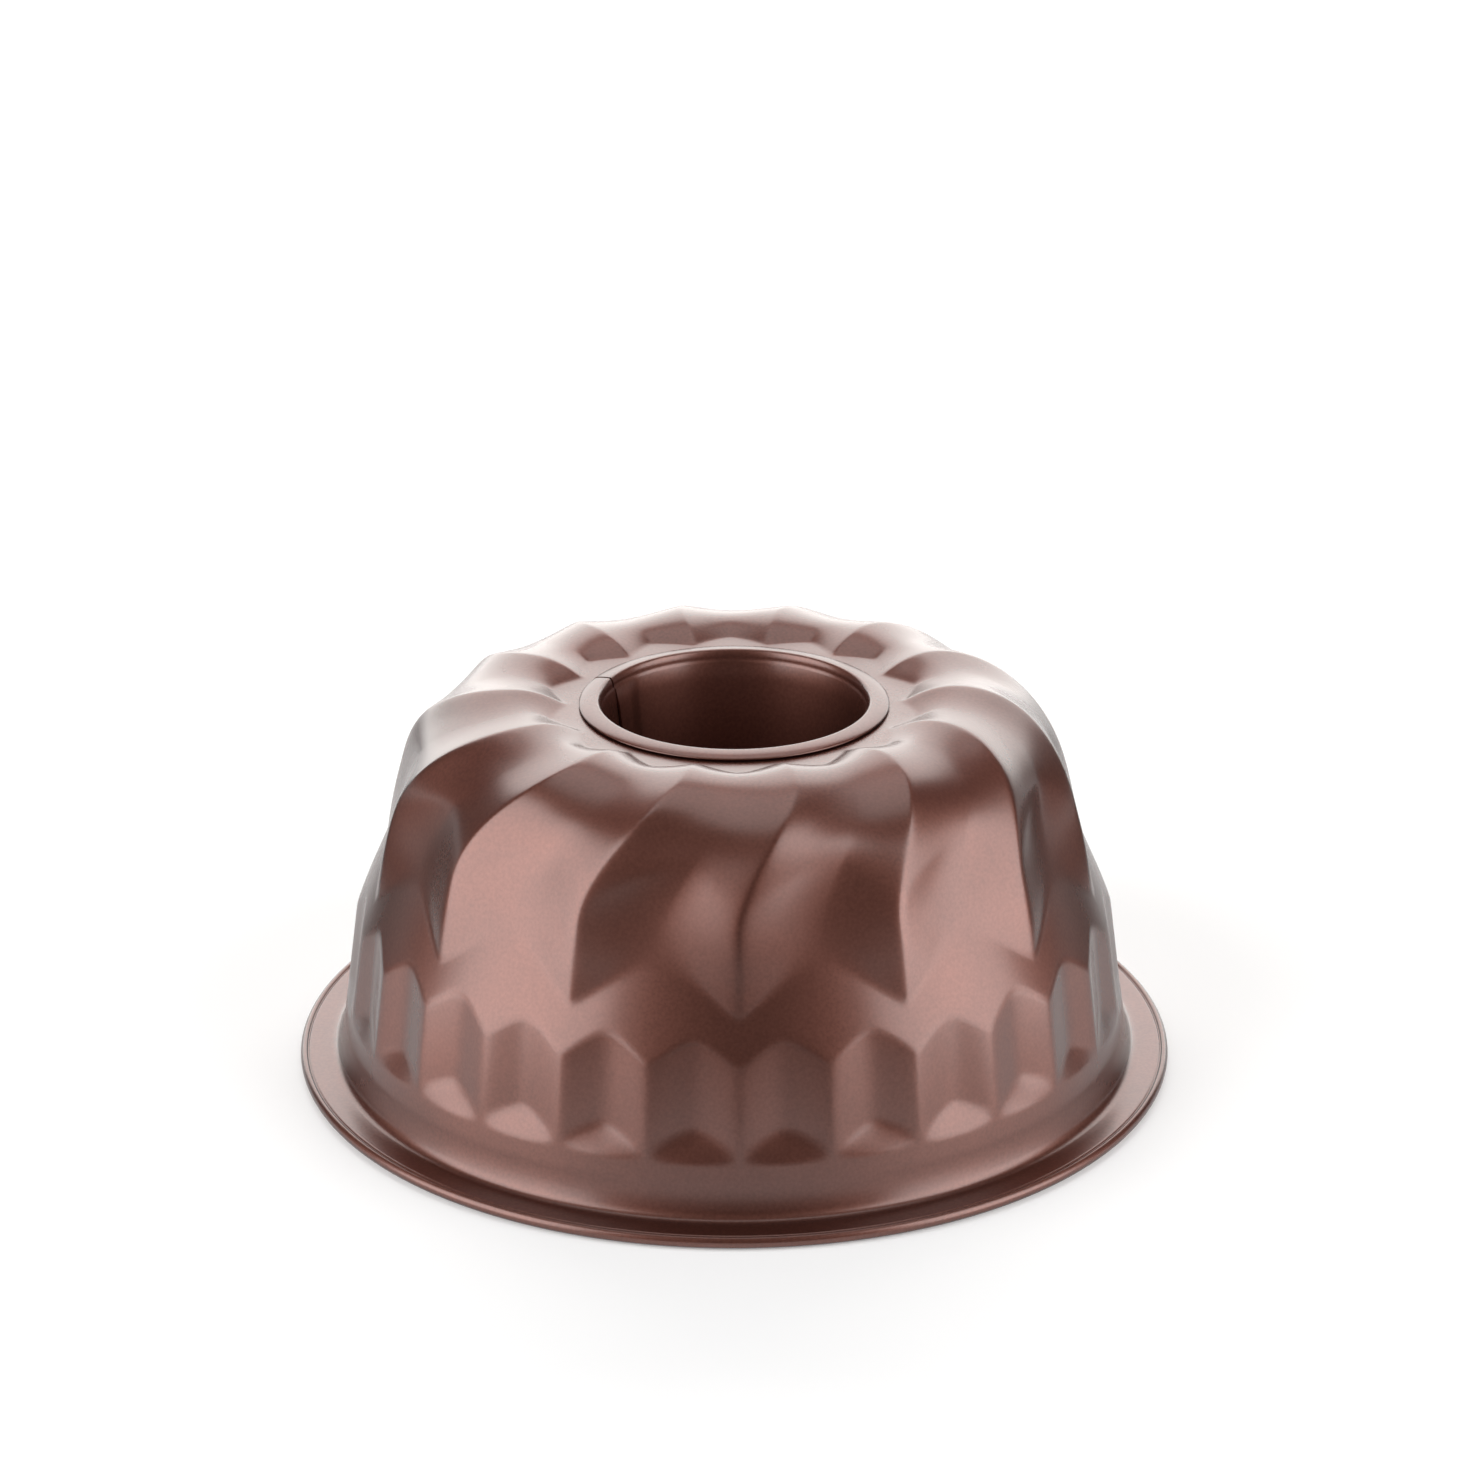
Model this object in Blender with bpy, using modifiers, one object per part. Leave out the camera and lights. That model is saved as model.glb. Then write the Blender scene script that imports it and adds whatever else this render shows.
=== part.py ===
"""Fluted tube pan of pressed sheet steel, standing on its rolled rim with the crown up.

Two pieces: the pressed shell and the tapering tube that is rolled over a collar of the shell.
Metres, +Z up, origin on the table under the middle of the rim. The camera side is -Y.
"""
import math

import bmesh
import bpy
from mathutils import Vector

# Sheet and clearance
SHEET = 0.0006              # steel sheet with its coat, of both pieces
CLEARANCE = 0.0003          # gap between touching pieces and between the layers of the seam

# Whole pan
RIM_RADIUS = 0.125          # outside of the rolled rim
HEIGHT = 0.1092             # highest point of the crests above the table

# Count and turn of the flutes
FLUTES = 14
COLUMNS = 8                 # mesh columns in each flute, a multiple of four
FRONT_CREST = -89.2         # degrees, azimuth of the crest that faces the viewer, at its foot
SWIRL = 13.5                # degrees that a crest turns from its foot to the disc
SWIRL_START = 0.24          # share of the crest's length where the turn starts
SWIRL_END = 0.84            # share of the crest's length where it ends

# Rolled rim, flange and plain wall, from the outside in
BEAD_RADIUS = 0.0017        # outside of the roll's section
FOOT_ANGLE = 22.0           # degrees each side of the roll's lowest point that are pressed flat
GROOVE_WIDTH = 0.0014       # from the roll's highest point to the flange
GROOVE_DEPTH = 0.0004
FLANGE_WIDTH = 0.0067
FLANGE_BEND = 0.0030        # width and height of the round corner between flange and wall
WALL_TAPER = 0.0010
WALL_HEIGHT = 0.0120        # of the plain wall, above the round corner

# Ring of dimples, two to a flute: inset from the foot of the wall, and height on the table
DIMPLE_FOOT_RIDGE = (0.0014, 0.0212)
DIMPLE_FOOT_VALLEY = (0.0043, 0.0252)
DIMPLE_HEAD_RIDGE = (0.0046, 0.0445)
DIMPLE_HEAD_VALLEY = (0.0072, 0.0505)
DIMPLE_HEAD_ROUNDING = 0.40             # how round the heads of the dimples are arched

# Arches between dimples and flutes: inset and height of the crest's foot and of the apex
CREST_FOOT = (0.0096, 0.0559)
VALLEY_FOOT = (0.0148, 0.0678)
ARCH_ROUNDING = 0.50                    # how round the arches are

# Shoulder and crown: inset or radius, and depth under the highest point
CREST_SHOULDER = (0.0153, 0.0272)
VALLEY_SHOULDER = (0.0232, 0.0172)
CREST_BULGE = 0.0006                    # how far a crest bows outwards between foot and shoulder
CREST_PULLS = (0.0190, 0.0165)          # lengths of the two handles of the shoulder curve
VALLEY_PULLS = (0.0105, 0.0090)
CROWN_RADIUS = 0.0620                   # where crests and valleys are highest
VALLEY_DROP = 0.0014                    # valleys under crests, on the crown
VALLEY_ROUNDING = 0.22                  # how softly the bottom of a flute is rounded
SHOULDER_STEPS = (0.28, 0.52, 0.76, 1.0)
CROWN_FALL = (0.5, 0.25)                # shares of the way in and down, on the crown's inner slope

# Tube and its roll
TUBE_MOUTH_RADIUS = 0.0252              # inside, at the mouth end
TUBE_MOUTH_HEIGHT = 0.0030
TUBE_TOP_RADIUS = 0.0370                # inside, level with the disc
ROLL_INSIDE = 0.0374
ROLL_WIDTH = 0.0065
ROLL_HEIGHT = 0.0021                    # from the roll's hidden lip to its highest line
ROLL_CREST = 0.0012                     # radius of the inner edge, which ends on that line
ROLL_FOLD = 0.0008                      # outside radius of the fold at the outer edge
TUBE_COLUMNS = 56
SEAM_AZIMUTH = 143.0                    # degrees, edge of the lapped seam
SEAM_LAP = 0.0060                       # width of the lap at the top of the tube
SEAM_RAMP = 0.0060                      # width over which the lap steps back to the round
SEAM_CRACK = 0.0005                     # gap where the roll's two ends meet
RAMP_STEPS = (0.1, 0.5, 0.9)
ROLL_SLOPE = (0.5, 0.3)                 # shares of the way out and down, on the roll's domed top

# Sunk disc, which carries the tube, from the flutes in
DISC_DEPTH = 0.0053                     # disc beside the roll, under the highest point
DISC_DISH = 0.0013                      # rise of the disc from the roll to the flutes
DISC_MARGIN = 0.0021                    # from the roll to where the disc starts to rise
CREST_MARGIN = 0.0041                   # from the roll to the inner ends of the crests
VALLEY_MARGIN = 0.0091                  # from the roll to the inner ends of the valleys
COLLAR_BEND = 0.0006

SHARP_ANGLE = 28.0                      # degrees, above which an edge is shaded as a crease

# Sizes that follow from the others
FLANGE_HEIGHT = 2 * BEAD_RADIUS - GROOVE_DEPTH
FLANGE_OUTSIDE = RIM_RADIUS - BEAD_RADIUS - GROOVE_WIDTH
FLANGE_INSIDE = FLANGE_OUTSIDE - FLANGE_WIDTH
WALL_FOOT_RADIUS = FLANGE_INSIDE - FLANGE_BEND
DISC_HEIGHT = HEIGHT - DISC_DEPTH
ROLL_OUTSIDE = ROLL_INSIDE + ROLL_WIDTH
COLLAR_RADIUS = ROLL_INSIDE + 2 * SHEET + CLEARANCE
COLLAR_TOP = DISC_HEIGHT + ROLL_HEIGHT - SHEET - CLEARANCE


def lerp(a, b, t):
    return a + (b - a) * t


def bezier(p0, p1, p2, p3, t):
    s = 1.0 - t
    return tuple(
        s**3 * a + 3 * s**2 * t * b + 3 * s * t**2 * c + t**3 * d
        for a, b, c, d in zip(p0, p1, p2, p3)
    )


def smoothstep(x):
    x = min(max(x, 0.0), 1.0)
    return x * x * (3.0 - 2.0 * x)


def on_wall(point):
    """Radius and height of a point given by its inset from the foot of the wall."""
    return (WALL_FOOT_RADIUS - point[0], point[1])


def meridian(foot, shoulder, bulge, pulls, drop, margin):
    """Points (radius, height) of a crest or a valley, from its foot up to the disc."""
    foot = on_wall(foot)
    shoulder = (WALL_FOOT_RADIUS - shoulder[0], HEIGHT - shoulder[1])
    top = (CROWN_RADIUS, HEIGHT - drop)
    end = (ROLL_OUTSIDE + margin, DISC_HEIGHT + DISC_DISH)
    run = Vector(shoulder) - Vector(foot)
    outward = Vector((run.y, -run.x)).normalized() * bulge
    middle = Vector(foot) + 0.5 * run + outward
    handle = Vector(shoulder) + (run - 4.0 * outward).normalized() * pulls[0]
    points = [foot, tuple(middle), shoulder]
    for step in SHOULDER_STEPS:
        points.append(bezier(shoulder, handle, (top[0] + pulls[1], top[1]), top, step))
    fall = (lerp(top[0], end[0], CROWN_FALL[0]), lerp(top[1], end[1], CROWN_FALL[1]))
    return points + [fall, end]


def length(points):
    return sum(math.dist(a, b) for a, b in zip(points, points[1:]))


def shares(points):
    """Share of the whole length at each point of an outline."""
    return [length(points[:i + 1]) / length(points) for i in range(len(points))]


def swirl(share):
    return SWIRL * smoothstep((share - SWIRL_START) / (SWIRL_END - SWIRL_START))


def zigzag(u, teeth):
    """Straight-sided wave over one flute: 1 at phase 0, then 0, then 1, once for each tooth."""
    return abs(2.0 * ((u * teeth) % 1.0) - 1.0)


def rounded(w, rounding):
    """Wave w from 0 in the valleys to 1 on the ridges, with its valleys rounded."""
    return (math.hypot(w, rounding) - rounding) / (math.hypot(1.0, rounding) - rounding)


def rim_outline():
    """Visible side of the roll, from its hidden end round the foot to the flange and wall."""
    centre = RIM_RADIUS - BEAD_RADIUS
    points = []
    for angle in (190.0, 270.0 - FOOT_ANGLE, 270.0 + FOOT_ANGLE, 325.0, 360.0, 402.0, 440.0):
        a = math.radians(angle)
        on_foot = abs(angle - 270.0) <= FOOT_ANGLE
        height = 0.0 if on_foot else BEAD_RADIUS * (1.0 + math.sin(a))
        points.append((centre + BEAD_RADIUS * math.cos(a), height))
    points.append((FLANGE_OUTSIDE, FLANGE_HEIGHT))
    for angle in (0.0, 45.0, 90.0):
        a = math.radians(angle)
        radius = FLANGE_INSIDE - FLANGE_BEND * math.sin(a)
        points.append((radius, FLANGE_HEIGHT + FLANGE_BEND * (1.0 - math.cos(a))))
    points.append((WALL_FOOT_RADIUS - WALL_TAPER, FLANGE_HEIGHT + FLANGE_BEND + WALL_HEIGHT))
    return points


def shell_rows():
    """Rows of one flute sector, each a list of (radius, height, azimuth) over the phases."""
    pitch = 360.0 / FLUTES
    phases = [i / COLUMNS for i in range(COLUMNS + 1)]
    rows = []
    for radius, height in rim_outline():
        rows.append([(radius, height, u * pitch) for u in phases])
    for valley, ridge, rounding in (
        (on_wall(DIMPLE_FOOT_VALLEY), on_wall(DIMPLE_FOOT_RIDGE), 0.0),
        (on_wall(DIMPLE_HEAD_VALLEY), on_wall(DIMPLE_HEAD_RIDGE), DIMPLE_HEAD_ROUNDING),
    ):
        row = []
        for u in phases:
            w = zigzag(u, 2)
            height = lerp(valley[1], ridge[1], rounded(w, rounding))
            row.append((lerp(valley[0], ridge[0], w), height, u * pitch))
        rows.append(row)
    crest = meridian(CREST_FOOT, CREST_SHOULDER, CREST_BULGE, CREST_PULLS, 0.0, CREST_MARGIN)
    valley = meridian(VALLEY_FOOT, VALLEY_SHOULDER, 0.0, VALLEY_PULLS, VALLEY_DROP, VALLEY_MARGIN)
    arch_share = math.dist(on_wall(CREST_FOOT), on_wall(VALLEY_FOOT)) / length(crest)
    for c, v, share_c, share_v in zip(crest, valley, shares(crest), shares(valley)):
        row = []
        for u in phases:
            side = zigzag(u, 1)
            if c is crest[0]:
                w = rounded(side, ARCH_ROUNDING)
            elif c is crest[-1]:
                w = side
            else:
                w = rounded(side, VALLEY_ROUNDING)
            turn = swirl(lerp(lerp(arch_share, 1.0, share_v), share_c, side))
            row.append((lerp(v[0], c[0], w), lerp(v[1], c[1], w), u * pitch + turn))
        rows.append(row)
    inner = [
        (ROLL_OUTSIDE + DISC_MARGIN, DISC_HEIGHT),
        (COLLAR_RADIUS + COLLAR_BEND, DISC_HEIGHT),
        (COLLAR_RADIUS, DISC_HEIGHT + COLLAR_BEND),
        (COLLAR_RADIUS, COLLAR_TOP),
    ]
    for radius, height in inner:
        rows.append([(radius, height, u * pitch + SWIRL) for u in phases])
    return rows


def grid_mesh(name, rows):
    """Mesh of quads through rows of (radius, height, azimuth in degrees)."""
    mesh = bpy.data.meshes.new(name)
    bm = bmesh.new()
    grid = []
    for row in rows:
        verts = []
        for radius, height, azimuth in row:
            a = math.radians(azimuth)
            verts.append(bm.verts.new((radius * math.cos(a), radius * math.sin(a), height)))
        grid.append(verts)
    for low, high in zip(grid, grid[1:]):
        for i in range(len(low) - 1):
            bm.faces.new((low[i], low[i + 1], high[i + 1], high[i]))
    bm.normal_update()
    bm.to_mesh(mesh)
    bm.free()
    return mesh


def coat(name, colour):
    material = bpy.data.materials.new(name)
    material.use_nodes = True
    shader = material.node_tree.nodes["Principled BSDF"]
    shader.inputs["Base Color"].default_value = (*colour, 1.0)
    shader.inputs["Metallic"].default_value = 0.8
    shader.inputs["Roughness"].default_value = 0.38
    return material


def add_piece(name, mesh, material, collection):
    piece = bpy.data.objects.new(name, mesh)
    collection.objects.link(piece)
    mesh.materials.append(material)
    mesh.shade_smooth()
    mesh.set_sharp_from_angle(angle=math.radians(SHARP_ANGLE))
    return piece


def add_sheet(piece):
    """Gives the visible skin its thickness on the hidden side."""
    sheet = piece.modifiers.new("sheet", "SOLIDIFY")
    sheet.thickness = SHEET
    sheet.offset = -1.0
    sheet.use_even_offset = True


def build_shell(collection):
    mesh = grid_mesh("fluted_shell", shell_rows())
    shell = add_piece("fluted_shell", mesh, coat("shell_coat", (0.30, 0.17, 0.14)), collection)
    step = bpy.data.objects.new("flute_step", None)
    step.rotation_euler.z = math.tau / FLUTES
    collection.objects.link(step)
    step.parent = shell
    array = shell.modifiers.new("flutes", "ARRAY")
    array.count = FLUTES
    array.use_relative_offset = False
    array.use_object_offset = True
    array.offset_object = step
    array.use_merge_vertices = True
    array.use_merge_vertices_cap = True
    array.merge_threshold = 0.00005
    add_sheet(shell)
    shell.rotation_euler.z = math.radians(FRONT_CREST)
    return shell


def tube_outline():
    """Visible side of the tube: the bore, and the roll from its inner edge to its hidden lip."""
    lip = DISC_HEIGHT + CLEARANCE
    bore = [(TUBE_MOUTH_RADIUS, TUBE_MOUTH_HEIGHT), (TUBE_TOP_RADIUS, DISC_HEIGHT)]
    crest = (ROLL_INSIDE + ROLL_CREST, lip + ROLL_HEIGHT)
    fold = (ROLL_OUTSIDE - ROLL_FOLD, lip + ROLL_FOLD)
    roll = []
    for angle in (180.0, 135.0, 90.0):
        a = math.radians(angle)
        radius = crest[0] + ROLL_CREST * math.cos(a)
        roll.append((radius, crest[1] - ROLL_CREST * (1.0 - math.sin(a))))
    radius = lerp(crest[0], fold[0], ROLL_SLOPE[0])
    roll.append((radius, lerp(crest[1], fold[1] + ROLL_FOLD, ROLL_SLOPE[1])))
    for angle in (90.0, 30.0, -30.0, -90.0):
        a = math.radians(angle)
        roll.append((fold[0] + ROLL_FOLD * math.cos(a), fold[1] + ROLL_FOLD * math.sin(a)))
    roll.append((COLLAR_RADIUS + COLLAR_BEND + CLEARANCE, lip))
    return bore, roll


def tube_rows():
    """The tube is one strip: it starts inside the lap, goes once round and ends behind it."""
    lap = math.degrees(SEAM_LAP / TUBE_TOP_RADIUS)
    ramp = math.degrees(SEAM_RAMP / TUBE_TOP_RADIUS)
    crack = math.degrees(SEAM_CRACK / TUBE_TOP_RADIUS)
    step_in = SHEET + CLEARANCE
    lapped = [0.0] + [lap + step * ramp for step in RAMP_STEPS]
    bore, roll = tube_outline()
    rows = []
    for radius, height in bore:
        row = []
        for angle in lapped:
            inward = step_in * (1.0 - smoothstep((angle - lap) / ramp))
            row.append((radius - inward, height, SEAM_AZIMUTH - angle))
        for i in range(TUBE_COLUMNS + 1):
            angle = lerp(lap + ramp, 360.0 + lap, i / TUBE_COLUMNS)
            row.append((radius, height, SEAM_AZIMUTH - angle))
        rows.append(row)
    for radius, height in roll:
        row = []
        for angle in lapped:
            row.append((radius, height, SEAM_AZIMUTH - angle))
        for i in range(TUBE_COLUMNS + 1):
            angle = lerp(lap + ramp, 360.0 - crack, i / TUBE_COLUMNS)
            row.append((radius, height, SEAM_AZIMUTH - angle))
        rows.append(row)
    return rows


def build_tube(collection):
    mesh = grid_mesh("centre_tube", tube_rows())
    tube = add_piece("centre_tube", mesh, coat("tube_coat", (0.26, 0.15, 0.12)), collection)
    add_sheet(tube)
    return tube


def main():
    for old in list(bpy.data.objects):
        bpy.data.objects.remove(old, do_unlink=True)
    collection = bpy.data.collections.new("fluted_tube_pan")
    bpy.context.scene.collection.children.link(collection)
    build_shell(collection)
    build_tube(collection)


main()
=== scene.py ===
"""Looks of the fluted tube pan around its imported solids: fine meshes, coat, floor, lamps, camera.

Metres and degrees, +Z up, in the frame of the solids. Shell and tube are lofted from the same kind
of formulas as the solids, with many more columns, and each crease is rounded as pressed sheet is.
"""

import math

import bpy
import numpy as np
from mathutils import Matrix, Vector


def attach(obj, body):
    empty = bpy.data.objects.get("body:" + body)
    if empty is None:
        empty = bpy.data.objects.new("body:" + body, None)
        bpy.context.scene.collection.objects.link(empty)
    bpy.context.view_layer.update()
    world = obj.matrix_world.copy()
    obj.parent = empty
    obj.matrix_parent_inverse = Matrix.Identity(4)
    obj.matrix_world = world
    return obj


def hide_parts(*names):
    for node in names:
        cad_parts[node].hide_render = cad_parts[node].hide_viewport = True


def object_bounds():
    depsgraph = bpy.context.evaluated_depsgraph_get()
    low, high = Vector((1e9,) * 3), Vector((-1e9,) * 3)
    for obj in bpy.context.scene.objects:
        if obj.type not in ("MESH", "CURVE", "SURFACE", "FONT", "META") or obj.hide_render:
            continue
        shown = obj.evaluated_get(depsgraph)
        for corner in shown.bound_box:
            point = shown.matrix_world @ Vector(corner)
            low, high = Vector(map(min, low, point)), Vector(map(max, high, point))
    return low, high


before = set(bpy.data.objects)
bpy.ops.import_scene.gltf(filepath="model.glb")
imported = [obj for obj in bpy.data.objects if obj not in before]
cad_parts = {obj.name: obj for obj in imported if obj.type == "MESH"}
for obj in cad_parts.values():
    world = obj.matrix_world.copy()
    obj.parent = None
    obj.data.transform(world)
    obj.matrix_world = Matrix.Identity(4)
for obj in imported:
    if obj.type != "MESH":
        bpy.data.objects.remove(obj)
CAD_LOW, CAD_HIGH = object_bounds()

# Whole pan, from the frame
RIM_RADIUS = 0.5 * (CAD_HIGH.x - CAD_LOW.x)
HEIGHT = CAD_HIGH.z
SHEET = 0.0006
CLEARANCE = 0.0003

# Count and turn of the flutes
FLUTES = 14
FRONT_CREST = -89.2         # azimuth of the crest that faces the viewer, at its foot
SWIRL = 13.5                # that a crest turns from its foot to the disc
SWIRL_START = 0.24          # shares of the crest's length
SWIRL_END = 0.84

# Rolled rim and the groove beside it
BEAD_RADIUS = 0.0017
BEAD_START = -170.0         # of the roll's section, from its outermost line
BEAD_LIP = 0.0007           # smaller radius on the inner side of the bead
BEAD_LIP_START = 65.0
BEAD_LIP_END = 150.0
GROOVE_WIDTH = 0.0014       # from the bead's highest point to the flange
GROOVE_DEPTH = 0.0004       # of the flange under the bead's highest point
GROOVE_FLOOR = 0.0004       # of the groove, under the flange
GROOVE_RISE = 0.0006        # width in which the groove rises to the flange

# Flange, fillet and plain wall
FLANGE_WIDTH = 0.0055
FLANGE_BEND = 0.0042        # from the flange's inner edge to the foot of the upright wall
FILLET_RADIUS = 0.0030
FLARE_RADIUS = 0.0278       # of the wall above the fillet
FLARE_START = 20.0          # lean of the wall where the flare starts and ends
FLARE_END = 4.0
WALL_TAPER = 0.0010
WALL_HEIGHT = 0.0108

# Dimples and arches: inset from the foot of the wall, and height
DIMPLE_FOOT_RIDGE = (0.0014, 0.0212)
DIMPLE_FOOT_VALLEY = (0.0043, 0.0252)
DIMPLE_HEAD_RIDGE = (0.0046, 0.0445)
DIMPLE_HEAD_VALLEY = (0.0072, 0.0505)
CREST_FOOT = (0.0096, 0.0559)
VALLEY_FOOT = (0.0148, 0.0678)

# Shoulder: inset from the foot of the wall, and depth under the highest point
CREST_SHOULDER = (0.0153, 0.0272)
VALLEY_SHOULDER = (0.0232, 0.0172)
CREST_BULGE = 0.0006        # how far a crest bows outwards between arch and shoulder
VALLEY_BULGE = 0.0
CREST_PULLS = (0.0190, 0.0165)
VALLEY_PULLS = (0.0105, 0.0090)

# Crown, and the curve down its inner side, as shares of its width and depth
CROWN_RADIUS = 0.0620
VALLEY_DROP = 0.0014        # valleys under crests
CROWN_NEAR = 0.45
CROWN_FAR = (0.25, 0.45)
RISE_STEPS = 16
SHOULDER_STEPS = 28
CROWN_STEPS = 12

# How softly the sheet turns across the flutes: shares of half a pitch
RIDGE_TURN = 0.08
ARCH_TURN = 0.50
ARCH_VALLEY_TURN = 0.20
CROWN_VALLEY_TURN = 0.60
SIDE_TURN = 0.03
DISC_EDGE_TURN = 0.10
DIMPLE_RIDGE_TURN = 0.16
DIMPLE_HEAD_TURN = 0.40
DIMPLE_FOOT_TURN = 0.35
ARCH_FADE = 8.0             # how soon above the arch the valley is as sharp as given
CROWN_SOFTENING = 3.0       # how early up the flute the valley gets its full turn
DISC_FADE = 6.0             # how late up the flute it takes on the turn of the disc's edge

# How softly it turns along the flutes: half the length of the bend, under half of each run's
GROOVE_TURN = 0.0003
FOOT_TURN = 0.0011
EDGE_TURN = 0.0019          # at the lower edge of the dimples
HEAD_TURN = 0.0020
DISC_TURN = 0.0012
HOLE_TURN = 0.0002
TURN_STEPS = (0.35, 0.70)   # where a bend is sampled, as shares of its half

# Columns of a quarter of a flute, close together at ridge and valley
QUARTER = (0.0, 0.010, 0.024, 0.044, 0.075, 0.125, 0.175, 0.206, 0.226, 0.240)

# Sunk disc and the collar round its hole
DISC_DEPTH = 0.0047         # beside the roll, under the highest point
DISC_DISH = 0.0003
DISC_MARGIN = 0.0012        # from the roll to where the disc starts to rise
CREST_MARGIN = 0.0041
VALLEY_MARGIN = 0.0091
COLLAR_BEND = 0.0006

# Tube and its roll
TUBE_MOUTH_RADIUS = 0.0252
TUBE_MOUTH_HEIGHT = 0.0030
TUBE_TOP_RADIUS = 0.0370
TUBE_STEPS = 20
ROLL_INSIDE = 0.0374
ROLL_WIDTH = 0.0061
ROLL_HEIGHT = 0.0015
ROLL_SIDE = 0.0004          # height of the roll's outermost line above its foot
ROLL_ROUNDING = 1.1         # 1 gives a quarter of an ellipse, 2 a straight slope
ROLL_UNDER = 0.0006         # how far the roll's foot lies in from its outermost line
ROLL_PULL = 0.0002
ROLL_STEPS = 16
LIP_WIDTH = 0.0012          # of the inner lip, which ends on the highest line
LIP_HEIGHT = 0.0026
LIP_BLEND = 0.0010          # height of the bend from the bore to the lip
LIP_STEPS = 8

# Lapped seam
SEAM_AZIMUTH = 156.0
SEAM_LAP = 0.0060
SEAM_RAMP = 0.0060          # width over which the lap steps back to the round
SEAM_CRACK = 0.0008
SEAM_LOW = 0.0045           # from here to SEAM_HIGH under the disc, the lap closes to the crack
SEAM_HIGH = 0.0002
LAP_STEPS = 4
RAMP_STEPS = 10
ROUND_STEPS = 200

SHARP_ANGLE = 50.0          # above which an edge is shaded as a crease

# Coat: dark copper flakes under a clear layer. The flakes go dark towards the edges of a form.
COAT_COLOUR = (0.146, 0.050, 0.034)
FLAKE_ROUGHNESS = 0.50
FLAKE_EDGE = (0.0, 0.0, 0.0)
CLEAR_ROUGHNESS = 0.27
CLEAR_IOR = 1.61
GRAIN_SCALE = 1100.0        # per metre
CLOUD_SCALE = 45.0
NOISE_RANGE = (0.3, 0.7)    # of the noise that is used
GRAIN_SHARE = 0.7           # of the colour's spread, the rest is the clouds'
COLOUR_SPREAD = 0.18
ROUGHNESS_SPREAD = 0.02
GRAIN_STRENGTH = 0.8
GRAIN_DEPTH = 0.00002

# Lamps: soft ones stand left, right and behind, and a weak one hangs above. Azimuths are taken
# from the viewer's side to the right, sizes are width and height, and levels are radiances.
SIDE_DISTANCE = 1.3
SIDE_BASE = 0.01            # height of the lower edge
LEFT_AZIMUTH = -64.0
LEFT_LAMP = (1.35, 1.90)
LEFT_LEVEL = 2.8
RIGHT_AZIMUTH = 66.0
RIGHT_LAMP = (1.15, 1.90)
RIGHT_LEVEL = 2.8
BACK_DISTANCE = 1.75
BACK_BASE = 0.02
BACK_LAMP = (3.10, 1.85)
BACK_COLOUR = (1.0, 0.965, 0.93)
BACK_LEVEL = 2.6
TOP_LAMP = (1.20, 1.20)
TOP_HEIGHT = 1.60
TOP_SHIFT = 0.5             # towards the back
TOP_LEVEL = 1.2
ROOM_LEVEL = 0.03

# Cards on the floor, outside the picture, that only mirror images show
CARD_HEIGHT = 0.001
DARK_COLOUR = (0.02, 0.02, 0.02)
DARK_ROUGHNESS = 0.9
FRONT_CARD = (0.245, 0.845)         # reach from the middle of the pan, towards the viewer
FRONT_CARD_ANGLE = 44.0             # half its spread, seen from the middle
SIDE_CARD = ((0.235, 0.03), (0.315, 0.50), (1.10, 1.10), (1.10, -0.15))
BRIGHT_CARD = (0.27, 1.10)
BRIGHT_CARD_ANGLES = (46.0, 80.0)
BRIGHT_LEVEL = 2.2

# Floor
FLOOR_COLOUR = (0.72, 0.72, 0.72)
FLOOR_SIZE = 60.0
FLOOR_LEVEL = -0.0002
FLOOR_GLOW = 0.25           # its own light round the pan
GLOW_REACH = (0.9, 1.25)    # where that rises to white

# Camera that took the photo, solved from the rim
CAMERA_DISTANCE = 1.16729
CAMERA_ELEVATION = 26.2129
CAMERA_PITCH = 21.9546
CAMERA_SIDE = 0.001635
CAMERA_FOCUS = 4013.73      # focal length in pixels of the photo
PHOTO_WIDTH = 1480.0
SENSOR_WIDTH = 36.0

# Sizes that follow
PITCH = 360.0 / FLUTES
FLANGE_HEIGHT = 2 * BEAD_RADIUS - GROOVE_DEPTH
FLANGE_OUTSIDE = RIM_RADIUS - BEAD_RADIUS - GROOVE_WIDTH
FLANGE_INSIDE = FLANGE_OUTSIDE - FLANGE_WIDTH
WALL_FOOT_RADIUS = FLANGE_INSIDE - FLANGE_BEND
WALL_TOP = FLANGE_HEIGHT + FLANGE_BEND + WALL_HEIGHT
DISC_HEIGHT = HEIGHT - DISC_DEPTH
ROLL_OUTSIDE = ROLL_INSIDE + ROLL_WIDTH
COLLAR_RADIUS = ROLL_INSIDE + 2 * SHEET + CLEARANCE
COLLAR_TOP = DISC_HEIGHT + ROLL_HEIGHT - SHEET - CLEARANCE


def lerp(a, b, t):
    return a + (b - a) * t


def smoothstep(x):
    x = min(max(x, 0.0), 1.0)
    return x * x * (3.0 - 2.0 * x)


def bezier(p0, p1, p2, p3, t):
    s = 1.0 - t
    return tuple(
        s**3 * a + 3 * s**2 * t * b + 3 * s * t**2 * c + t**3 * d
        for a, b, c, d in zip(p0, p1, p2, p3)
    )


def on_wall(point):
    """Radius and height of a point that is given by its inset from the foot of the wall."""
    return (WALL_FOOT_RADIUS - point[0], point[1])


def bow(w, turn):
    """Rises from 0 to 1 with w, with its start rounded by turn."""
    return (math.hypot(w, turn) - turn) / (math.hypot(1.0, turn) - turn)


def wave(u, teeth, valley_turn, ridge_turn):
    """1 on the ridges and 0 in the valleys of one flute, with rounded turns."""
    w = bow(abs(2.0 * ((u * teeth) % 1.0) - 1.0), valley_turn)
    return 1.0 - bow(1.0 - w, ridge_turn)


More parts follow.
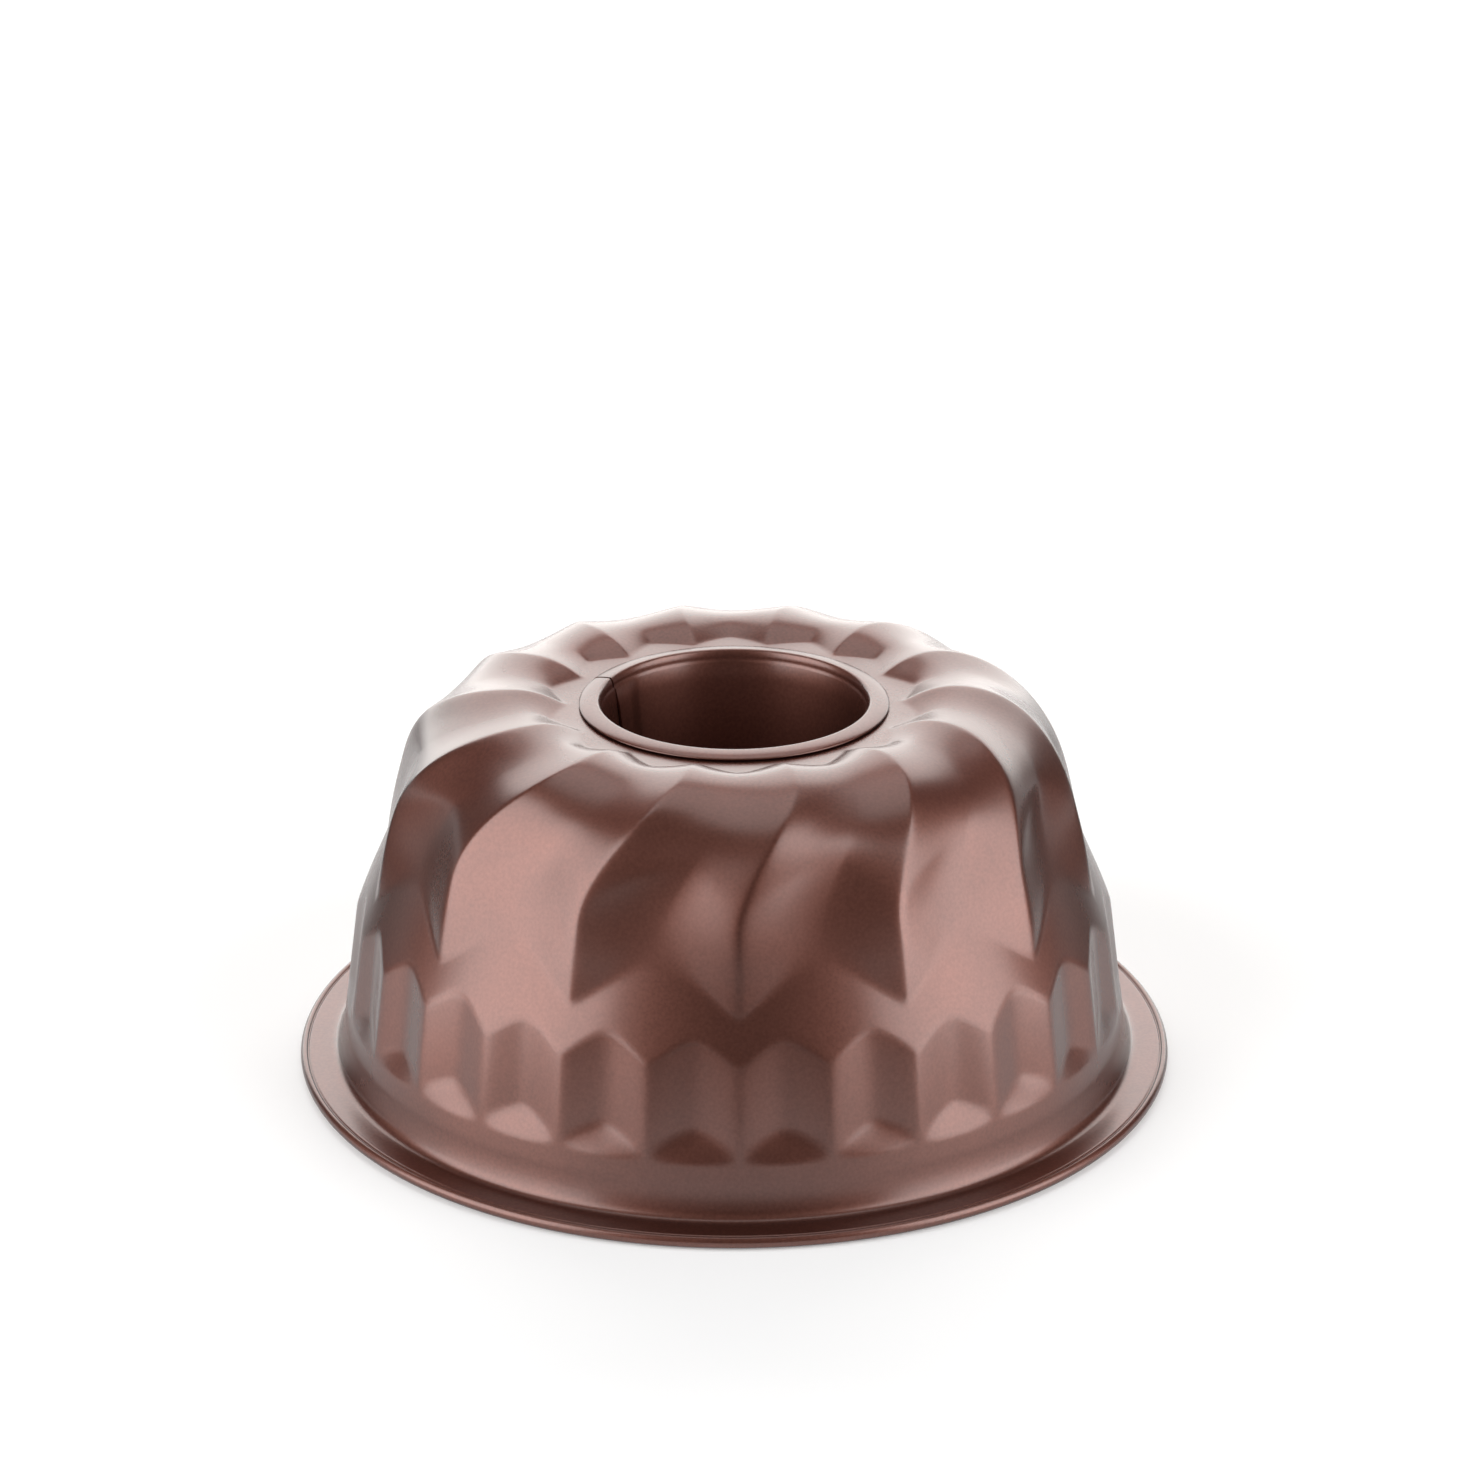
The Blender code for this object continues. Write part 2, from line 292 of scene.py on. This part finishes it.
def between(valley, ridge, w):
    return (lerp(valley[0], ridge[0], w), lerp(valley[1], ridge[1], w))


def arc(centre, radius, start, end, steps):
    """Points of an arc in the plane of radius and height."""
    points = []
    for i in range(steps + 1):
        a = math.radians(lerp(start, end, i / steps))
        points.append((centre[0] + radius * math.cos(a), centre[1] + radius * math.sin(a)))
    return points


def meridian(foot, shoulder, bulge, pulls, drop, margin):
    """Fine outline of a crest or a valley, from its foot to the disc."""
    foot = on_wall(foot)
    shoulder = (WALL_FOOT_RADIUS - shoulder[0], HEIGHT - shoulder[1])
    top = (CROWN_RADIUS, HEIGHT - drop)
    end = (ROLL_OUTSIDE + margin, DISC_HEIGHT + DISC_DISH)
    run = Vector(shoulder) - Vector(foot)
    outward = Vector((run.y, -run.x)).normalized() * 4.0 * bulge
    handle = Vector(shoulder) + (run - outward).normalized() * pulls[0]
    points = [
        tuple(Vector(foot) + run * t + outward * t * (1.0 - t))
        for t in np.arange(RISE_STEPS) / RISE_STEPS
    ]
    points += [
        bezier(shoulder, handle, (top[0] + pulls[1], top[1]), top, i / SHOULDER_STEPS)
        for i in range(SHOULDER_STEPS)
    ]
    width = top[0] - end[0]
    near = (top[0] - CROWN_NEAR * width, top[1])
    far = (end[0] + CROWN_FAR[0] * width, lerp(end[1], top[1], CROWN_FAR[1]))
    points += [bezier(top, near, far, end, i / CROWN_STEPS) for i in range(CROWN_STEPS + 1)]
    return points


def shares(points):
    """How far along the line each point lies, as shares of its length, and the length."""
    steps = [0.0] + [math.dist(a, b) for a, b in zip(points, points[1:])]
    total = np.cumsum(steps)
    return total / total[-1], total[-1]


CREST = meridian(CREST_FOOT, CREST_SHOULDER, CREST_BULGE, CREST_PULLS, 0.0, CREST_MARGIN)
VALLEY = meridian(VALLEY_FOOT, VALLEY_SHOULDER, VALLEY_BULGE, VALLEY_PULLS, VALLEY_DROP,
                  VALLEY_MARGIN)
CREST_SHARES, CREST_LENGTH = shares(CREST)
VALLEY_SHARES, _ = shares(VALLEY)
ARCH_SHARE = math.dist(CREST[0], VALLEY[0]) / CREST_LENGTH


def swirl(share):
    return SWIRL * smoothstep((share - SWIRL_START) / (SWIRL_END - SWIRL_START))


def rim_run():
    """The bead, whose inner side falls steeply to a groove beside the flange."""
    centre = (RIM_RADIUS - BEAD_RADIUS, BEAD_RADIUS)
    outside = arc(centre, BEAD_RADIUS, BEAD_START, BEAD_LIP_START, 30)
    shift = BEAD_RADIUS - BEAD_LIP
    lean = math.radians(BEAD_LIP_START)
    near = (centre[0] + shift * math.cos(lean), centre[1] + shift * math.sin(lean))
    lip = arc(near, BEAD_LIP, BEAD_LIP_START, BEAD_LIP_END, 8)
    floor = FLANGE_HEIGHT - GROOVE_FLOOR
    fall = (lip[-1][1] - floor) / math.tan(math.radians(BEAD_LIP_END - 90.0))
    return outside + lip[1:] + [(lip[-1][0] - fall, floor)]


def wall_runs():
    """The flange, the fillet at its inner edge and the flared wall up to the dimples."""
    start = (rim_run()[-1][0] - GROOVE_RISE, FLANGE_HEIGHT)
    centre = (FLANGE_INSIDE, FLANGE_HEIGHT + FILLET_RADIUS)
    lean = math.radians(180.0 + FLARE_START)
    extra = FLARE_RADIUS - FILLET_RADIUS
    far = (centre[0] - extra * math.cos(lean), centre[1] - extra * math.sin(lean))
    fillet = arc(centre, FILLET_RADIUS, 270.0, 180.0 + FLARE_START, 8)
    flare = arc(far, FLARE_RADIUS, 180.0 + FLARE_START, 180.0 + FLARE_END, 10)
    return [start, fillet[0]], fillet, flare + [(WALL_FOOT_RADIUS - WALL_TAPER, WALL_TOP)]


def flute_run(u):
    """Points of the flute above the arch, with the turn of the swirl."""
    points = []
    side = wave(u, 1, SIDE_TURN, SIDE_TURN)
    last = len(CREST) - 1
    for i, (crest, valley) in enumerate(zip(CREST, VALLEY)):
        t = i / last
        soft = lerp(ARCH_VALLEY_TURN, CROWN_VALLEY_TURN, smoothstep(CROWN_SOFTENING * t))
        w = wave(u, 1, soft, RIDGE_TURN)
        w = lerp(w, wave(u, 1, ARCH_TURN, RIDGE_TURN), smoothstep(1.0 - ARCH_FADE * t))
        at_disc = smoothstep(DISC_FADE * t - (DISC_FADE - 1.0))
        w = lerp(w, wave(u, 1, DISC_EDGE_TURN, DISC_EDGE_TURN), at_disc)
        share = lerp(lerp(ARCH_SHARE, 1.0, VALLEY_SHARES[i]), CREST_SHARES[i], side)
        points.append((*between(valley, crest, w), swirl(share)))
    return points


def column_runs(u):
    """Runs of (radius, height, turn) up one column, with samples and the bend at each one's end."""
    hollowed = wave(u, 2, DIMPLE_FOOT_TURN, DIMPLE_RIDGE_TURN)
    foot = between(on_wall(DIMPLE_FOOT_VALLEY), on_wall(DIMPLE_FOOT_RIDGE), hollowed)
    arched = wave(u, 2, DIMPLE_HEAD_TURN, DIMPLE_RIDGE_TURN)
    head = between(on_wall(DIMPLE_HEAD_VALLEY), on_wall(DIMPLE_HEAD_RIDGE), arched)
    flute = flute_run(u)
    rim = rim_run()
    flange, fillet, wall = wall_runs()
    margin = (ROLL_OUTSIDE + DISC_MARGIN, DISC_HEIGHT)
    hole = COLLAR_RADIUS + COLLAR_BEND
    collar = arc((hole, DISC_HEIGHT + COLLAR_BEND), COLLAR_BEND, 270.0, 180.0, 4)
    low_runs = [
        (rim, 44, GROOVE_TURN),
        ([rim[-1], flange[0]], 2, GROOVE_TURN),
        (flange, 3, 0.0),
        (fillet, 6, 0.0),
        (wall, 16, FOOT_TURN),
        ([wall[-1], foot], 3, EDGE_TURN),
        ([foot, head], 9, HEAD_TURN),
    ]
    high_runs = [
        ([flute[-1][:2], margin], 3, DISC_TURN),
        ([margin, (hole, DISC_HEIGHT)], 4, HOLE_TURN),
        (collar + [(COLLAR_RADIUS, COLLAR_TOP)], 6, 0.0),
    ]
    runs = [([(r, z, 0.0) for r, z in points], count, turn) for points, count, turn in low_runs]
    runs.append(([(*head, 0.0), flute[0]], 5, HEAD_TURN))
    runs.append((flute, 46, DISC_TURN))
    runs += [([(r, z, SWIRL) for r, z in points], count, turn) for points, count, turn in high_runs]
    return runs


def sampled(runs):
    """Even samples along joined runs, with each corner between two runs rounded."""
    line, at, corners, reach = [], [], [0.0], 0.0
    for points, _, _ in runs:
        for i, p in enumerate(points):
            if i:
                reach += math.dist(points[i - 1][:2], p[:2])
            line.append(p)
            at.append(reach)
        corners.append(reach)
    line, at = np.array(line), np.array(at)

    def point(s):
        return np.array([np.interp(s, at, line[:, k]) for k in range(3)])

    turns = [0.0] + [turn for _, _, turn in runs[:-1]] + [0.0]
    samples = []
    for k, (_, count, _) in enumerate(runs):
        low, high = corners[k], corners[k + 1]
        a, b = turns[k], turns[k + 1]
        samples += [low + a * f for f in (0.0, *TURN_STEPS)] if a else [low]
        steps = [lerp(low + a, high - b, i / count) for i in range(0 if a else 1, count + 1)]
        steps += [high - b * f for f in reversed(TURN_STEPS)] if b else []
        if not b and k < len(runs) - 1:
            steps.pop()
        samples += steps
    result = []
    for s in samples:
        near = min(range(len(corners)), key=lambda j: abs(corners[j] - s))
        turn, corner = turns[near], corners[near]
        if turn and abs(s - corner) < turn:
            t = (s - corner + turn) / (2.0 * turn)
            p = ((1 - t) ** 2 * point(corner - turn) + 2 * t * (1 - t) * point(corner)
                 + t * t * point(corner + turn))
        else:
            p = point(s)
        result.append(p)
    return result


def ring_mesh(name, columns, closed):
    """Mesh through columns of (radius, height, azimuth), foot first."""
    count = len(columns[0])
    verts = []
    for column in columns:
        for radius, height, azimuth in column:
            a = math.radians(azimuth)
            verts.append((radius * math.cos(a), radius * math.sin(a), height))
    faces = []
    total = len(columns)
    for i in range(total if closed else total - 1):
        j = (i + 1) % total
        for k in range(count - 1):
            faces.append((i * count + k, j * count + k, j * count + k + 1, i * count + k + 1))
    mesh = bpy.data.meshes.new(name)
    mesh.from_pydata(verts, [], faces)
    mesh.validate()
    return mesh


def thickened(name, mesh):
    """Gives the skin the sheet's thickness on its hidden side and rounds its shading."""
    piece = bpy.data.objects.new(name, mesh)
    bpy.context.scene.collection.objects.link(piece)
    sheet = piece.modifiers.new("sheet", "SOLIDIFY")
    sheet.thickness = SHEET
    sheet.offset = -1.0
    sheet.use_even_offset = True
    graph = bpy.context.evaluated_depsgraph_get()
    solid = bpy.data.meshes.new_from_object(piece.evaluated_get(graph))
    piece.modifiers.clear()
    piece.data = solid
    solid.name = name
    bpy.data.meshes.remove(mesh)
    solid.shade_smooth()
    solid.set_sharp_from_angle(angle=math.radians(SHARP_ANGLE))
    return piece


def build_shell():
    phases = [0.25 * k + q for k in range(4) for q in QUARTER]
    flute = [(u, sampled(column_runs(u))) for u in phases]
    columns = []
    for k in range(FLUTES):
        for u, samples in flute:
            azimuth = FRONT_CREST + PITCH * (k + u)
            columns.append([(r, z, azimuth + turn) for r, z, turn in samples])
    return thickened("pan_shell", ring_mesh("pan_shell", columns, closed=True))


def tube_outline():
    """Visible side of the tube: the bore from its mouth up, and the lip and roll over it."""
    base = DISC_HEIGHT + CLEARANCE
    crest = base + ROLL_HEIGHT
    inner = (ROLL_INSIDE, crest - LIP_HEIGHT)
    mouth = (TUBE_MOUTH_RADIUS, TUBE_MOUTH_HEIGHT)
    top = (TUBE_TOP_RADIUS, inner[1] - LIP_BLEND)
    bore = [mouth]
    bore += [between(mouth, top, i / TUBE_STEPS) for i in range(1, TUBE_STEPS + 1)]
    bore += [between(top, inner, f) for f in TURN_STEPS]
    roll = []
    for i in range(LIP_STEPS + 1):
        a = math.radians(180.0 - 90.0 * i / LIP_STEPS)
        roll.append((ROLL_INSIDE + LIP_WIDTH * (1 + math.cos(a)),
                     inner[1] + (crest - inner[1]) * math.sin(a)))
    side = (ROLL_OUTSIDE, base + ROLL_SIDE)
    across, down = ROLL_WIDTH - LIP_WIDTH, crest - side[1]
    for i in range(1, ROLL_STEPS + 1):
        a = math.radians(90.0 * i / ROLL_STEPS)
        roll.append((side[0] - across * (1.0 - math.sin(a) ** ROLL_ROUNDING),
                     side[1] + down * max(0.0, math.cos(a)) ** ROLL_ROUNDING))
    near = (ROLL_OUTSIDE, base + ROLL_PULL)
    far = (ROLL_OUTSIDE - ROLL_PULL, base)
    under = (ROLL_OUTSIDE - ROLL_UNDER, base)
    roll += [bezier(side, near, far, under, i / 4) for i in range(1, 5)]
    roll.append((COLLAR_RADIUS + COLLAR_BEND + CLEARANCE, base))
    return bore, roll


def build_tube():
    """One strip: it starts inside the lap, goes once round and ends behind it."""
    lap = math.degrees(SEAM_LAP / TUBE_TOP_RADIUS)
    ramp = math.degrees(SEAM_RAMP / TUBE_TOP_RADIUS)
    crack = math.degrees(SEAM_CRACK / TUBE_TOP_RADIUS)
    bore, roll = tube_outline()
    low, high = DISC_HEIGHT - SEAM_LOW, DISC_HEIGHT - SEAM_HIGH
    outline = [(r, z, smoothstep((z - low) / (high - low))) for r, z in bore]
    outline += [(r, z, 1.0) for r, z in roll]
    starts = [lap * i / LAP_STEPS for i in range(LAP_STEPS + 1)]
    starts += [lap + ramp * i / RAMP_STEPS for i in range(1, RAMP_STEPS + 1)]
    columns = []
    for i in range(len(starts) + ROUND_STEPS):
        column = []
        for radius, height, on_roll in outline:
            if i < len(starts):
                angle = starts[i]
            else:
                end = lerp(360.0 + lap, 360.0 - crack, on_roll)
                angle = lerp(lap + ramp, end, (i - len(starts) + 1) / ROUND_STEPS)
            inward = (SHEET + CLEARANCE) * (1.0 - smoothstep((angle - lap) / ramp)) * (1.0 - on_roll)
            column.append((radius - inward, height, SEAM_AZIMUTH - angle))
        columns.append(column)
    return thickened("centre_roll_tube", ring_mesh("centre_roll_tube", columns, closed=False))


def new_material(name):
    """A material with its nodes, links and shader."""
    material = bpy.data.materials.new(name)
    material.use_nodes = True
    nodes, links = material.node_tree.nodes, material.node_tree.links
    return material, nodes, links, nodes["Principled BSDF"]


def math_node(nodes, links, operation, first, second):
    node = nodes.new("ShaderNodeMath")
    node.operation = operation
    links.new(first, node.inputs[0])
    links.new(second, node.inputs[1])
    return node.outputs[0]


def map_range(nodes, links, source, taken, given):
    node = nodes.new("ShaderNodeMapRange")
    names = ("From Min", "From Max", "To Min", "To Max")
    for socket, value in zip(names, (*taken, *given)):
        node.inputs[socket].default_value = value
    links.new(source, node.inputs["Value"])
    return node.outputs[0]


def make_coat(name, colour):
    """Metallic non-stick coat: flakes under a clear layer, with fine grain and faint clouds."""
    material, nodes, links, shader = new_material(name)
    place = nodes.new("ShaderNodeTexCoord").outputs["Object"]

    def noise(scale, detail):
        node = nodes.new("ShaderNodeTexNoise")
        node.inputs["Scale"].default_value = scale
        node.inputs["Detail"].default_value = detail
        links.new(place, node.inputs["Vector"])
        return node.outputs[0]

    def spread(source, low, high):
        return map_range(nodes, links, source, NOISE_RANGE, (low, high))

    grain = noise(GRAIN_SCALE, 2.0)
    clouds = noise(CLOUD_SCALE, 3.0)
    tint = nodes.new("ShaderNodeMix")
    tint.data_type = "RGBA"
    tint.inputs[6].default_value = (*(c * (1.0 - COLOUR_SPREAD) for c in colour), 1.0)
    tint.inputs[7].default_value = (*(c * (1.0 + COLOUR_SPREAD) for c in colour), 1.0)
    share = math_node(nodes, links, "ADD", spread(grain, 0.0, GRAIN_SHARE),
                      spread(clouds, 0.0, 1.0 - GRAIN_SHARE))
    links.new(share, tint.inputs[0])
    links.new(tint.outputs[2], shader.inputs["Base Color"])
    rough = spread(clouds, FLAKE_ROUGHNESS + ROUGHNESS_SPREAD, FLAKE_ROUGHNESS - ROUGHNESS_SPREAD)
    links.new(rough, shader.inputs["Roughness"])
    bump = nodes.new("ShaderNodeBump")
    bump.inputs["Strength"].default_value = GRAIN_STRENGTH
    bump.inputs["Distance"].default_value = GRAIN_DEPTH
    links.new(grain, bump.inputs["Height"])
    links.new(bump.outputs[0], shader.inputs["Normal"])
    shader.inputs["Metallic"].default_value = 1.0
    shader.inputs["Specular Tint"].default_value = (*FLAKE_EDGE, 1.0)
    shader.inputs["Coat Weight"].default_value = 1.0
    shader.inputs["Coat Roughness"].default_value = CLEAR_ROUGHNESS
    shader.inputs["Coat IOR"].default_value = CLEAR_IOR
    return material


def dress(piece, material, node):
    piece.data.materials.clear()
    piece.data.materials.append(material)
    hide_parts(node)
    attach(piece, "root")


def plane(name, outline, level, material):
    """Flat four-cornered piece of the studio."""
    mesh = bpy.data.meshes.new(name)
    mesh.from_pydata([(x, y, level) for x, y in outline], [], [(0, 1, 2, 3)])
    mesh.materials.append(material)
    piece = bpy.data.objects.new(name, mesh)
    bpy.context.scene.collection.objects.link(piece)
    return piece


def make_floor():
    """Pale paper: lit as it is, and topped up to white for the camera, gloss and clear things."""
    material, nodes, links, shader = new_material("floor_paper")
    shader.inputs["Base Color"].default_value = (*FLOOR_COLOUR, 1.0)
    shader.inputs["Specular IOR Level"].default_value = 0.0
    shader.inputs["Emission Color"].default_value = (1.0, 1.0, 1.0, 1.0)
    path = nodes.new("ShaderNodeLightPath").outputs
    seen = math_node(nodes, links, "MAXIMUM", path["Is Camera Ray"], path["Is Glossy Ray"])
    seen = math_node(nodes, links, "MAXIMUM", seen, path["Is Transmission Ray"])
    reach = nodes.new("ShaderNodeVectorMath")
    reach.operation = "LENGTH"
    links.new(nodes.new("ShaderNodeTexCoord").outputs["Object"], reach.inputs[0])
    glow = map_range(nodes, links, reach.outputs["Value"], GLOW_REACH, (FLOOR_GLOW, 1.0))
    strength = math_node(nodes, links, "MULTIPLY", seen, glow)
    links.new(strength, shader.inputs["Emission Strength"])
    size = FLOOR_SIZE
    outline = [(-size, -size), (size, -size), (size, size), (-size, size)]
    plane("floor", outline, FLOOR_LEVEL, material)


def make_card(name, outline, material):
    """Leaves the card to mirror images: it takes no light from the floor and is not seen itself."""
    card = plane(name, outline, CARD_HEIGHT, material)
    card.visible_camera = False
    card.visible_diffuse = False
    card.visible_shadow = False


def make_cards():
    """Dark cards that the front and the far sides mirror, and bright ones between them."""
    dark, _, _, shader = new_material("card_black")
    shader.inputs["Base Color"].default_value = (*DARK_COLOUR, 1.0)
    shader.inputs["Roughness"].default_value = DARK_ROUGHNESS
    spread = math.tan(math.radians(FRONT_CARD_ANGLE))
    near, far = FRONT_CARD
    front = [(-far * spread, -far), (far * spread, -far), (near * spread, -near),
             (-near * spread, -near)]
    make_card("card_front", front, dark)
    make_card("card_right", SIDE_CARD, dark)
    make_card("card_left", [(-x, y) for x, y in SIDE_CARD], dark)
    bright, _, _, shader = new_material("card_bright")
    shader.inputs["Emission Color"].default_value = (1.0, 1.0, 1.0, 1.0)
    shader.inputs["Emission Strength"].default_value = BRIGHT_LEVEL
    near, far = BRIGHT_CARD
    start, end = (math.radians(azimuth) for azimuth in BRIGHT_CARD_ANGLES)
    for name, side in (("card_bright_right", 1.0), ("card_bright_left", -1.0)):
        outline = [
            (side * reach * math.sin(a), -reach * math.cos(a))
            for reach, a in ((near, start), (near, end), (far, end), (far, start))
        ]
        make_card(name, outline, bright)


def make_lamp(name, azimuth, distance, size, base, level):
    """Tall soft lamp that faces the pan, with the given height of its lower edge and radiance."""
    data = bpy.data.lights.new(name, "AREA")
    data.shape = "RECTANGLE"
    data.size, data.size_y = size
    data.energy = 4.0 * level * size[0] * size[1]
    lamp = bpy.data.objects.new(name, data)
    a = math.radians(azimuth)
    lamp.location = (distance * math.sin(a), -distance * math.cos(a), base + 0.5 * size[1])
    lamp.rotation_euler = (math.pi / 2, 0.0, a)
    lamp.visible_camera = False
    bpy.context.scene.collection.objects.link(lamp)
    return lamp


def make_studio():
    make_floor()
    make_cards()
    make_lamp("lamp_left", LEFT_AZIMUTH, SIDE_DISTANCE, LEFT_LAMP, SIDE_BASE, LEFT_LEVEL)
    make_lamp("lamp_right", RIGHT_AZIMUTH, SIDE_DISTANCE, RIGHT_LAMP, SIDE_BASE, RIGHT_LEVEL)
    back = make_lamp("lamp_back", 180.0, BACK_DISTANCE, BACK_LAMP, BACK_BASE, BACK_LEVEL)
    back.data.color = BACK_COLOUR
    top = make_lamp("lamp_top", 180.0, TOP_SHIFT, TOP_LAMP, 0.0, TOP_LEVEL)
    top.location.z = TOP_HEIGHT
    top.rotation_euler = (0.0, 0.0, 0.0)
    world = bpy.data.worlds.new("studio")
    bpy.context.scene.world = world
    world.use_nodes = True
    room = world.node_tree.nodes["Background"]
    room.inputs["Color"].default_value = (1.0, 1.0, 1.0, 1.0)
    room.inputs["Strength"].default_value = ROOM_LEVEL


def make_camera():
    data = bpy.data.cameras.new("camera")
    data.sensor_width = SENSOR_WIDTH
    data.lens = CAMERA_FOCUS / PHOTO_WIDTH * SENSOR_WIDTH
    camera = bpy.data.objects.new("camera", data)
    elevation = math.radians(CAMERA_ELEVATION)
    camera.location = (CAMERA_SIDE, -CAMERA_DISTANCE * math.cos(elevation),
                       CAMERA_DISTANCE * math.sin(elevation))
    camera.rotation_euler = (math.radians(90.0 - CAMERA_PITCH), 0.0, 0.0)
    bpy.context.scene.collection.objects.link(camera)
    bpy.context.scene.camera = camera


shell = build_shell()
dress(shell, make_coat("shell_coat", COAT_COLOUR), "fluted_shell")
tube = build_tube()
dress(tube, make_coat("tube_coat", COAT_COLOUR), "centre_tube")
make_studio()
make_camera()

bpy.context.scene.view_settings.view_transform = "Standard"
